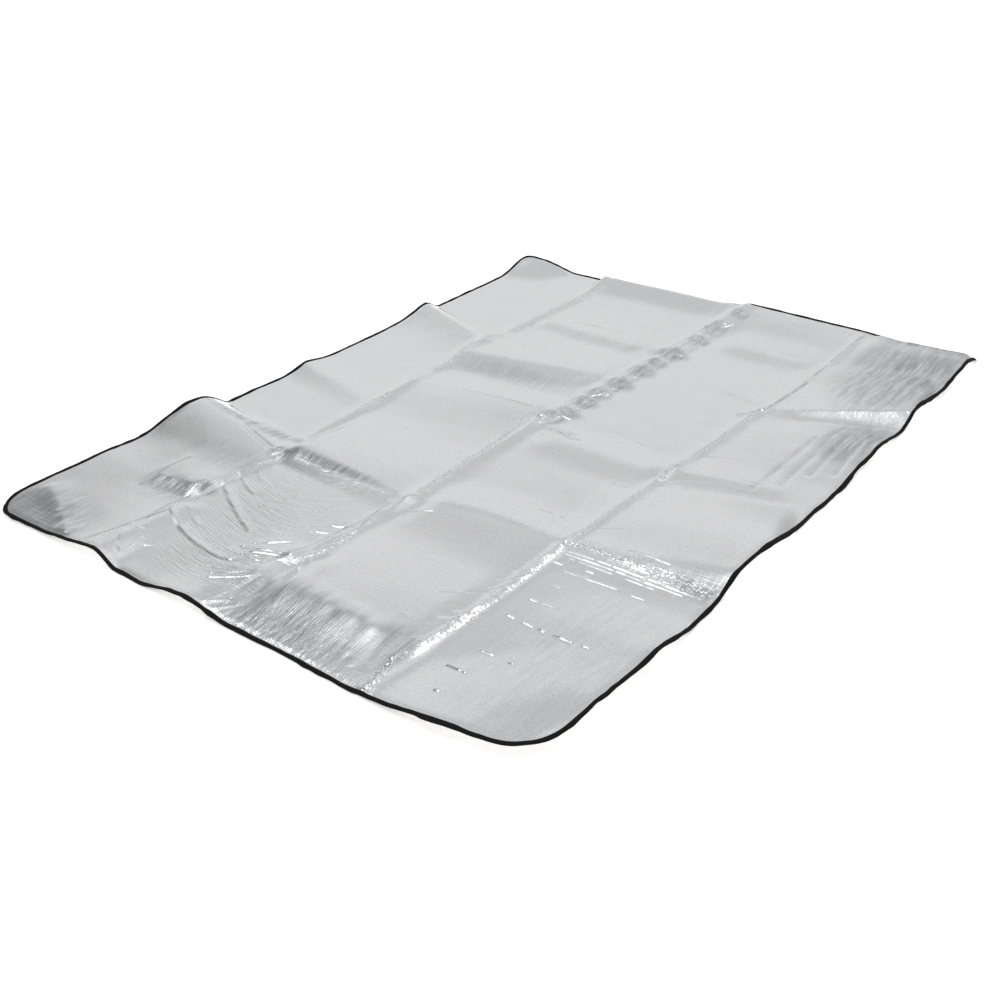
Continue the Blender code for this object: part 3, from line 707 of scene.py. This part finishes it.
def refine(piece):
    """Divide the faces of the upper side where the creases need it."""
    bm = bmesh.new()
    bm.from_mesh(piece.data)
    for _ in range(PASSES):
        faces = [face for face in bm.faces if all(corner.co.z > MIDWAY for corner in face.verts)]
        middles = np.array([face.calc_center_median()[:2] for face in faces])
        sizes = np.array([math.sqrt(face.calc_area()) for face in faces])
        wanted = wanted_size(middles[:, 0], middles[:, 1], 0.45 * sizes)
        coarse = (sizes > 1.3 * wanted) & (inset(middles[:, 0], middles[:, 1]) > 0.002)
        chosen = {edge for face, too_big in zip(faces, coarse) if too_big for edge in face.edges}
        bmesh.ops.subdivide_edges(bm, edges=list(chosen), cuts=1, use_grid_fill=True)
    many_sided = [face for face in bm.faces if len(face.verts) > 4 and face.verts[0].co.z > MIDWAY]
    bmesh.ops.triangulate(bm, faces=many_sided)
    bm.to_mesh(piece.data)
    bm.free()


def add_film_values(piece, x, y):
    """Store how crushed and drawn the film is at each point of the sheet, and its painted shade."""
    # a trace of lines across the mat is everywhere
    fine = {"even": 0 * x, "along": 0 * x, "across": 0 * x + 0.08}
    for crush in CRUSHES:
        lines = "along" if crush.pull == "short" else crush.pull
        fine[lines] = np.maximum(fine[lines], crush_mask(crush, x, y) * crush.fine)
    # painted shade for the film's colour, from 0 to 1
    painted_shade = 0 * x
    for area in DRAWN_AND_SHADED:
        away = np.hypot((x - area.x) / area.reach_x, (y - area.y) / area.reach_y)
        inside = np.clip(1.25 - away, 0, 1)
        fine[area.pull] = np.maximum(fine[area.pull], area.strength * inside)
        painted_shade = np.maximum(painted_shade, area.dull * inside * (2 - inside))
    # painted shade along the deeper troughs, darkest in the narrow ones
    for seed, crease in enumerate(CREASES):
        if crease.rise < -0.9:
            depth = crease_rise(crease, seed, x, y) / (crease.rise * MM)
            painted_shade = np.maximum(painted_shade, np.clip(depth, 0, 1) * (0.25 if crease.left > 8 else 0.55))
    for pull, values in fine.items():
        add_values(piece, "crushed_" + pull, values)
    add_values(piece, "painted_shade", painted_shade)
    add_values(piece, "sagging", sagging(x, y))


def make_sheet():
    """The foil-faced foam: its flat shell, divided, then laid on the folds and creased."""
    piece = new_piece("foil_face_sheet", *sheet_shell())
    refine(piece)
    place = np.zeros(len(piece.data.vertices) * 3)
    piece.data.vertices.foreach_get("co", place)
    place = place.reshape(-1, 3)
    x, y, top = place[:, 0].copy(), place[:, 1].copy(), place[:, 2] > MIDWAY
    squeezed = SHEET_THICKNESS - RIM_SQUEEZE * np.clip(1 - inset(x, y) / 0.012, 0, 1) ** 1.5
    face = underside(x, y) + squeezed * steepness(x, y) + creasing(x, y)
    stray_x, stray_y = wander(x, y)
    laid = np.column_stack([x + stray_x, y + stray_y, np.where(top, face, low_underside(x, y))])
    piece.data.vertices.foreach_set("co", laid.ravel())
    piece.data.update()
    add_film_values(piece, *laid[:, :2].T)
    for polygon in piece.data.polygons:
        polygon.use_smooth = True
        polygon.material_index = 0 if all(top[corner] for corner in polygon.vertices) else 1
    return piece


# The tape's folded section: distance out from its inner edge and height, in millimetres,
# and how far the point strays in or out as the tape sways.  The stitches lie in the
# shallow groove of each face.
Point = namedtuple("Point", "out up sway", defaults=(0.0,))
TAPE_SECTION = [
    Point(0.8, 3.60, -1.8), Point(1.1, 4.00, -1.8), Point(2.2, 4.35), Point(3.2, 4.10),
    Point(4.0, 4.05), Point(4.9, 4.15), Point(6.5, 4.40), Point(8.0, 4.20),
    Point(9.3, 3.60, 4.0), Point(10.0, 2.60, 4.0), Point(10.0, 1.80, 4.0), Point(9.3, 0.80, 4.0),
    Point(8.0, 0.20), Point(6.5, 0.00), Point(4.0, 0.15), Point(0.5, 0.05), Point(0.0, 0.50),
    Point(0.0, 1.00), Point(9.0, 1.00), Point(9.0, 3.20), Point(0.8, 3.20, -1.8),
]
UPPER_FACE = 3.5             # points above this are on the upper face, which puckers
STITCH_OUT = 4.0             # from the tape's inner edge to the stitches, in millimetres
STITCH_LENGTH = 3.4          # pitch of the stitches
THREAD_WIDTH = 0.75


def pucker(along):
    """How far the seam puckers the tape's upper face at distances along it, in metres."""
    return 1.0 * MM * (waver(along, 0 * along, 0.017, 61) - 0.5)


def halved(line):
    """A closed line with one more point in the middle of each stretch."""
    middles = (line + np.roll(line, -1, 0)) / 2
    return np.stack([line, middles], 1).reshape(-1, 2)


def edge_line():
    """The inner edge of the tape once round the mat: places and outward directions."""
    square = [(x, rows[0]) for x in columns[:-1]]
    square += [(columns[-1], y) for y in rows[:-1]]
    square += [(x, rows[-1]) for x in columns[:0:-1]]
    square += [(columns[0], y) for y in rows[:0:-1]]
    square = np.array(square)
    x, y, out_x, out_y = round_corner(square[:, 0], square[:, 1])
    lip = halved(np.stack([x, y], 1))
    outward = halved(np.stack([out_x, out_y], 1))
    return lip, outward / np.hypot(outward[:, 0], outward[:, 1])[:, None]


def tape_floor(lip, outward, out):
    """Height under the tape at a distance out from its inner edge, in metres."""
    rim = lip + outward * (TAPE_COVER - RIM_LIFT)
    share = np.clip(out / TAPE_COVER, 0, 1)
    return relief(lip[:, 0], lip[:, 1]) * (1 - share) + relief(rim[:, 0], rim[:, 1]) * share


def round_length(line):
    """Distance of each point of a closed line from its first one, and the whole length."""
    steps = np.hypot(*(np.roll(line, -1, 0) - line).T)
    return np.concatenate([[0], np.cumsum(steps)[:-1]]), steps.sum()


def make_binding():
    """The tape, folded over the edge all the way round."""
    lip, outward = edge_line()
    along, _ = round_length(lip)
    stretch = steepness(*lip.T)
    stray = np.stack(wander(*lip.T), 1)
    sway = waver(along, 0 * along, 0.047, 62) * waver(along, 0 * along, 0.021, 63) - 0.2
    rings = []
    for corner in TAPE_SECTION:
        out = (corner.out + corner.sway * sway) * MM
        up = corner.up * MM + (pucker(along) if corner.up > UPPER_FACE else 0.0)
        places = lip + stray + outward * out[:, None]
        rings.append(np.column_stack([places, tape_floor(lip, outward, out) + up * stretch]))
    across = [0.0]
    for before, after in zip(TAPE_SECTION, TAPE_SECTION[1:]):
        across.append(across[-1] + math.hypot(after.out - before.out, after.up - before.up) * MM)
    count = len(lip)
    corners = len(TAPE_SECTION)
    faces = []
    for station in range(count):
        here = station * corners
        following = (station + 1) % count * corners
        for corner in range(corners):
            other = (corner + 1) % corners
            faces.append((here + corner, here + other, following + other, following + corner))
    piece = new_piece("binding_tape", np.stack(rings, 1).reshape(-1, 3), faces)
    add_values(piece, "tape_along", np.repeat(along, corners))
    add_values(piece, "tape_across", np.tile(across, count))
    return piece


# A stitch is three rings of four points round its thread.
Ring = namedtuple("Ring", "share size")
RINGS = [Ring(0.10, 0.35), Ring(0.50, 1.0), Ring(0.90, 0.35)]
RING_POINTS = ((-1, 0.0), (0, 1.1), (1, 0.0), (0, -0.6))


def make_stitching():
    """Lockstitches in both faces of the tape, as one mesh of short threads."""
    lip, outward = edge_line()
    along, whole = round_length(lip)
    number = round(whole / (STITCH_LENGTH * MM))
    pitch = whole / number
    half = THREAD_WIDTH / 2 * MM
    out = STITCH_OUT * MM
    closed = np.concatenate([lip, lip[:1]])
    closed_out = np.concatenate([outward, outward[:1]])
    closed_along = np.concatenate([along, [whole]])
    points = []
    faces = []
    for groove in (corner.up for corner in TAPE_SECTION if corner.out == STITCH_OUT):
        upper = groove > UPPER_FACE
        rings = []
        for share, size in RINGS:
            at = pitch * np.arange(number) + pitch * share
            place = np.column_stack([np.interp(at, closed_along, line) for line in closed.T])
            turn = np.column_stack([np.interp(at, closed_along, line) for line in closed_out.T])
            turn /= np.hypot(*turn.T)[:, None]
            level = groove * MM + (pucker(at) if upper else 0.0)
            middle = tape_floor(place, turn, out) + level * steepness(*place.T)
            place = place + np.stack(wander(*place.T), 1)
            for side, up in RING_POINTS:
                height = middle + (1 if upper else -1) * (up * size * half)
                rings.append(np.column_stack([place + turn * (out + side * size * half), height]))
        first = len(points)
        points.extend(np.stack(rings, 1).reshape(-1, 3))
        for base in range(first, len(points), len(rings)):
            quads = []
            for ring in (base, base + 4):
                for corner in range(4):
                    other = ring + (corner + 1) % 4
                    quads.append((ring + corner, other, other + 4, ring + corner + 4))
            quads += [(base + 3, base + 2, base + 1, base), tuple(range(base + 8, base + 12))]
            faces.extend(quad if upper else quad[::-1] for quad in quads)
    return new_piece("binding_stitching", points, faces)


# ---------------------------------------------------------------- materials
def srgb(code):
    """A colour written as an sRGB hex value, turned to linear."""
    parts = [int(code[start:start + 2], 16) / 255 for start in (1, 3, 5)]
    linear = [part / 12.92 if part <= 0.04045 else ((part + 0.055) / 1.055) ** 2.4 for part in parts]
    return (*linear, 1.0)


def add_node(tree, kind, links=None, **settings):
    """Add a shader node.  Settings are its properties, and links its inputs by name or
    number: each is a value, a socket, or a node, which stands for its first output."""
    node = tree.nodes.new("ShaderNode" + kind)
    for name, value in settings.items():
        setattr(node, name, value)
    for name, value in (links or {}).items():
        source = value.outputs[0] if isinstance(value, bpy.types.Node) else value
        if isinstance(source, bpy.types.NodeSocket):
            tree.links.new(source, node.inputs[name])
        else:
            node.inputs[name].default_value = source
    return node


def new_material(name, **shader_values):
    """A material with a Principled shader whose own sockets hold the even values."""
    material = bpy.data.materials.new(name)
    material.use_nodes = True
    shader = material.node_tree.nodes["Principled BSDF"]
    for socket, value in shader_values.items():
        shader.inputs[socket.replace("_", " ")].default_value = value
    return material, material.node_tree, shader


def finish(tree, shader, colour, bump):
    """Give a shader the colour of a mix node, which is its third output, and a bump."""
    tree.links.new(colour.outputs[2], shader.inputs["Base Color"])
    tree.links.new(bump.outputs[0], shader.inputs["Normal"])


def aluminised_film():
    """Aluminium-coated film bonded to foam: satin silver, dimpled by the foam's cells.

    The film is stiff, so it breaks into small flat facets where the mat was folded and is
    drawn into fine lines where it was pulled; each catches the light on its own.
    """
    material, tree, shader = new_material("aluminised film on foam", Metallic=1.0)
    place = add_node(tree, "TexCoord").outputs["Object"]
    crushed, along, across, sagging_y, painted_shade = (
        add_node(tree, "Attribute", attribute_name=name).outputs["Fac"]
        for name in ("crushed_even", "crushed_along", "crushed_across", "sagging", "painted_shade")
    )
    across_mat = add_node(tree, "SeparateXYZ", {"Vector": place})
    bent = add_node(tree, "CombineXYZ", {"X": across_mat, "Y": sagging_y})

    def drawn_noise(sizes, detail, roughness):
        """Noise with grains of these sizes, in millimetres, that follows the sagging film."""
        scaled = add_node(tree, "VectorMath", {
            0: bent, 1: tuple(1 / (size * MM) for size in sizes)}, operation="MULTIPLY")
        return add_node(tree, "TexNoise", {
            "Vector": scaled, "Scale": 1.0, "Detail": detail, "Roughness": roughness})

    # dimples over foam cells of about 2 mm, drawn at 3 mm so that they show from a step away
    dimples = add_node(tree, "TexNoise", {
        "Vector": place, "Scale": 1 / (3.0 * MM), "Detail": 2.0, "Roughness": 0.6})
    dimple_part = add_node(tree, "Math", {0: dimples, 1: 0.10}, operation="MULTIPLY")

    # crushed film: each cell of 3.5 mm is a flat facet with a tilt of its own
    cells = add_node(tree, "TexVoronoi", {"Vector": place, "Scale": 1 / (3.5 * MM), "Randomness": 1.0})
    away = add_node(tree, "VectorMath", {0: place, 1: cells.outputs["Position"]}, operation="SUBTRACT")
    tilt = add_node(tree, "VectorMath", {
        0: cells.outputs["Color"], 1: (0.5, 0.5, 0.5)}, operation="SUBTRACT")
    facet = add_node(tree, "VectorMath", {0: away, 1: tilt}, operation="DOT_PRODUCT").outputs["Value"]
    facet_rise = add_node(tree, "Math", {0: facet, 1: 0.8 / MM}, operation="MULTIPLY")
    facet_part = add_node(tree, "Math", {0: facet_rise, 1: crushed}, operation="MULTIPLY")

    # film drawn into lines, 3 mm apart where they run along the mat and 5 mm across it
    line_parts = [
        add_node(tree, "Math", {0: drawn_noise(sizes, 2.0, 0.6), 1: mask}, operation="MULTIPLY")
        for sizes, mask in (((3, 26, 26), along), ((60, 5, 60), across))
    ]
    lines = add_node(tree, "Math", {0: line_parts[0], 1: line_parts[1]}, operation="ADD")
    line_part = add_node(tree, "Math", {0: lines, 1: 1.6}, operation="MULTIPLY")

    surface = add_node(tree, "Math", {0: dimple_part, 1: facet_part}, operation="ADD")
    surface = add_node(tree, "Math", {0: surface, 1: line_part}, operation="ADD")
    bump = add_node(tree, "Bump", {"Strength": 1.0, "Distance": MM, "Height": surface})

    # handling leaves the coat a little duller in soft patches some 60 mm across
    wear = add_node(tree, "TexNoise", {
        "Vector": place, "Scale": 1 / 0.06, "Detail": 4.0, "Roughness": 0.6})
    rough = add_node(tree, "MapRange", {
        "Value": wear, "From Min": 0.3, "From Max": 0.7, "To Min": 0.16, "To Max": 0.22})
    tree.links.new(rough.outputs[0], shader.inputs["Roughness"])

    # painted shade: the film's colour is darker in the dimples' hollows and lighter on their rims
    dimple_shade_mask = add_node(tree, "MapRange", {
        "Value": dimples, "From Min": 0.30, "From Max": 0.62, "To Min": 0.0, "To Max": 1.0})
    film_with_dimple_shade = add_node(tree, "Mix", {
        "Factor": dimple_shade_mask, "A": srgb("#E2E3E5"), "B": srgb("#F8F8F9")}, data_type="RGBA")

    # painted shade: in the oval areas and deep troughs marked for it the colour goes to dark grey, in
    # streaks along the film
    uneven = add_node(tree, "MapRange", {
        "Value": drawn_noise((13, 110, 13), 3.0, 0.65),
        "From Min": 0.36, "From Max": 0.62, "To Min": 0.25, "To Max": 1.0})
    painted_shade_factor = add_node(tree, "Math", {0: uneven, 1: painted_shade}, operation="MULTIPLY")
    colour = add_node(tree, "Mix", {
        "Factor": painted_shade_factor, "A": film_with_dimple_shade.outputs[2], "B": srgb("#7E8083")}, data_type="RGBA")
    finish(tree, shader, colour, bump)
    return material


def pale_foam():
    """Expanded polyethylene foam on the underside: soft white with closed cells of 2 mm."""
    material, tree, shader = new_material("expanded polyethylene foam", Roughness=0.75)
    place = add_node(tree, "TexCoord").outputs["Object"]
    cells = add_node(tree, "TexVoronoi", {"Vector": place, "Scale": 1 / (2.2 * MM)})
    colour = add_node(tree, "Mix", {
        "Factor": cells, "A": srgb("#F1F0EC"), "B": srgb("#DAD9D4")}, data_type="RGBA")
    bump = add_node(tree, "Bump", {
        "Strength": 0.6, "Distance": 0.4 * MM, "Height": cells}, invert=True)
    finish(tree, shader, colour, bump)
    return material


def woven_tape():
    """Black polypropylene binding tape, plain woven: matt with a fine grid of threads."""
    material, tree, shader = new_material(
        "woven polypropylene tape", Roughness=0.8, Specular_IOR_Level=0.15)
    waves = []
    # threads 1.1 mm apart, twice a real tape's, so that they show
    for name in ("tape_along", "tape_across"):
        place = add_node(tree, "Attribute", attribute_name=name).outputs["Fac"]
        turns = add_node(tree, "Math", {0: place, 1: math.pi / (1.1 * MM)}, operation="MULTIPLY")
        waves.append(add_node(tree, "Math", {0: turns}, operation="SINE"))
    weave = add_node(tree, "Math", {0: waves[0], 1: waves[1]}, operation="MULTIPLY")
    height = add_node(tree, "Math", {0: weave}, operation="ABSOLUTE")
    bump = add_node(tree, "Bump", {"Strength": 0.9, "Distance": 0.25 * MM, "Height": height})
    colour = add_node(tree, "Mix", {
        "Factor": height, "A": srgb("#09090A"), "B": srgb("#1B1B1D")}, data_type="RGBA")
    finish(tree, shader, colour, bump)
    return material


def polyester_thread():
    """Black polyester sewing thread: a little glossier than the tape, with its ply showing."""
    material, tree, shader = new_material(
        "polyester sewing thread", Roughness=0.5, Specular_IOR_Level=0.3)
    place = add_node(tree, "TexCoord").outputs["Object"]
    ply = add_node(tree, "TexNoise", {"Vector": place, "Scale": 1 / (0.4 * MM), "Detail": 1.0})
    colour = add_node(tree, "Mix", {
        "Factor": ply, "A": srgb("#141416"), "B": srgb("#2C2C2F")}, data_type="RGBA")
    bump = add_node(tree, "Bump", {"Strength": 0.5, "Distance": 0.1 * MM, "Height": ply})
    finish(tree, shader, colour, bump)
    return material


# ---------------------------------------------------------------- the pieces
sheet = make_sheet()
sheet.data.materials.append(aluminised_film())
sheet.data.materials.append(pale_foam())

binding = make_binding()
binding.data.materials.append(woven_tape())
binding.data.shade_smooth()
binding.data.set_sharp_from_angle(angle=math.radians(60))

stitching = make_stitching()
stitching.data.materials.append(polyester_thread())
stitching.data.shade_smooth()

for piece in (sheet, binding, stitching):
    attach(piece, "root")
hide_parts("foil_sheet")
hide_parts("edge_binding")

# ---------------------------------------------------------------- the studio
FLOOR_SIZE = 60.0
FLOOR_GAP = 0.0004


def studio_floor():
    """White seamless paper, lit a little from below as on a shooting table."""
    ends = [(-1, -1), (1, -1), (1, 1), (-1, 1)]
    points = [(x * FLOOR_SIZE / 2, y * FLOOR_SIZE / 2, -FLOOR_GAP) for x, y in ends]
    ground = new_piece("studio_floor", points, [(0, 1, 2, 3)])
    paper, _, _ = new_material(
        "white seamless paper", Roughness=0.9, Emission_Strength=0.38,
        Base_Color=srgb("#F7F7F7"), Emission_Color=srgb("#FFFFFF"))
    ground.data.materials.append(paper)


def towards(azimuth, elevation):
    """A direction, from degrees.  Azimuth 0 is behind the mat (+Y) and 90 on its left."""
    turn = math.radians(azimuth)
    lift = math.radians(elevation)
    return Vector((-math.sin(turn) * math.cos(lift), math.cos(turn) * math.cos(lift), math.sin(lift)))


# Soft panels round the mat and above it.  Their sizes are half angles, in degrees, and their
# light is what they add to the surround's.
Panel = namedtuple("Panel", "name azimuth elevation half_width half_height light")
PANELS = [
    Panel("card on the left", 106, 26, 40, 26, -0.48),
    Panel("black card, high on the left", 78, 43, 14, 9, -0.16),
    Panel("card behind on the right", -6, 8, 30, 18, -0.26),
    Panel("card high behind", 32, 44, 34, 14, -0.17),
    Panel("lamp high on the left", 86, 68, 18, 11, 0.35),
    Panel("lamp above the left edge", 124, 58, 17, 13, 2.30),
    Panel("lamp behind on the right", -44, 44, 15, 13, 1.80),
    Panel("lamp overhead", 86, 75, 14, 8, 0.90),
    Panel("lamp over the camera", -170, 66, 30, 20, 0.20),
]
SURROUND = 0.76


def studio_world():
    """A white tent with lamps in it, and cards (where the light is below 0) that darken it."""
    world = bpy.data.worlds.new("studio")
    bpy.context.scene.world = world
    world.use_nodes = True
    tree = world.node_tree
    way = add_node(tree, "TexCoord").outputs["Generated"]
    total = None
    for panel in PANELS:
        ahead = towards(panel.azimuth, panel.elevation)
        sideways = towards(panel.azimuth - 90, 0)
        upward = ahead.cross(sideways) * -1
        squares = []
        for axis, half in ((sideways, panel.half_width), (upward, panel.half_height)):
            part = add_node(tree, "VectorMath", {
                0: way, 1: axis / math.sin(math.radians(half))}, operation="DOT_PRODUCT").outputs["Value"]
            squares.append(add_node(tree, "Math", {0: part, 1: part}, operation="MULTIPLY"))
        away = add_node(tree, "Math", {0: squares[0], 1: squares[1]}, operation="ADD")
        soft = add_node(tree, "MapRange", {
            "Value": away, "From Min": 1.6, "From Max": 0.1,
            "To Min": 0.0, "To Max": panel.light}, interpolation_type="SMOOTHSTEP")
        facing = add_node(tree, "VectorMath", {0: way, 1: ahead}, operation="DOT_PRODUCT").outputs["Value"]
        before = add_node(tree, "Math", {0: facing, 1: 0.0}, operation="GREATER_THAN")
        lit = add_node(tree, "Math", {0: soft, 1: before}, operation="MULTIPLY")
        total = add_node(tree, "Math", {0: lit, 1: total if total else SURROUND}, operation="ADD")
    background = tree.nodes["Background"]
    tree.links.new(total.outputs[0], background.inputs["Strength"])
    background.inputs["Color"].default_value = (1, 1, 1, 1)


# The photograph's view, found by fitting a camera to the mat's four corners on the floor.
VIEW_FROM = (180 + 39.308, 29.404)  # azimuth and elevation, in degrees
VIEW_ROLL = -2.339
VIEW_OF = (0.153, -0.324, 0)
VIEW_DISTANCE = 2.678
FOCAL_LENGTH = 1215.9 / 1000  # in widths of the frame's longer side
SENSOR = 36.0


def studio_camera():
    """The photograph's viewpoint: from the front right, 29 degrees above the floor."""
    back = towards(*VIEW_FROM)
    roll = math.radians(VIEW_ROLL)
    level = Vector((0, 0, 1)).cross(back).normalized()
    upright = back.cross(level)
    right = level * math.cos(roll) + upright * math.sin(roll)
    up = upright * math.cos(roll) - level * math.sin(roll)
    turn = Matrix((right, up, back)).transposed().to_4x4()
    place = Vector(VIEW_OF) + back * VIEW_DISTANCE
    camera = bpy.data.objects.new("camera", bpy.data.cameras.new("camera"))
    camera.data.sensor_width = SENSOR
    camera.data.lens = SENSOR * FOCAL_LENGTH
    camera.matrix_world = Matrix.Translation(place) @ turn
    bpy.context.scene.collection.objects.link(camera)
    bpy.context.scene.camera = camera


studio_floor()
studio_world()
studio_camera()
bpy.context.scene.view_settings.view_transform = "Standard"
